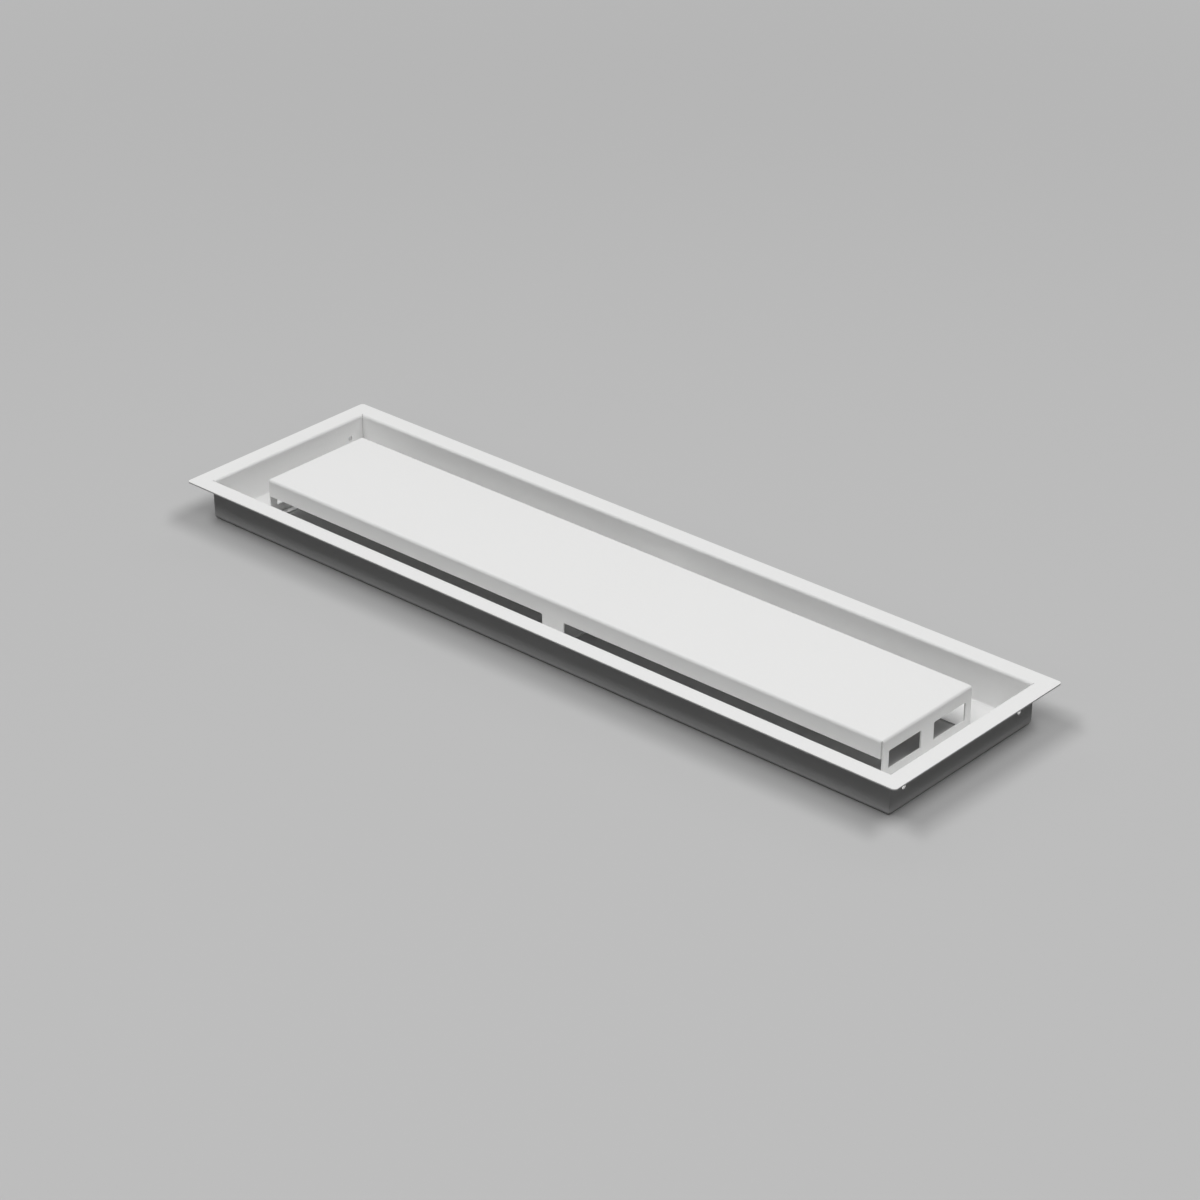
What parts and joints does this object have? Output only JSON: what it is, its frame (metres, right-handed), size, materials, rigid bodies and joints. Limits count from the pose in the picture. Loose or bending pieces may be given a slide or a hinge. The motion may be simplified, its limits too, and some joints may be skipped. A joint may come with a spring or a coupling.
{
  "type": "ceiling vent cover",
  "caption": "Long shallow folded sheet-steel air vent: a flanged pan with a raised centre panel, perimeter channel and windowed ends.",
  "frame": {"origin": "middle of the pan's underside, at the height of the lowest face of its floor", "axes": "+X along the vent's length, +Y across it, +Z from the pan's underside towards the room side of the rim and panel"},
  "size_m": [0.72, 0.2, 0.034],
  "materials": {
    "frame": "white powder coat with a fine texture, satin",
    "cover": "white powder coat with a fine texture, satin"
  },
  "bodies": {
    "root": {"frame": "frame", "cover": "cover"}
  },
  "joints": []
}
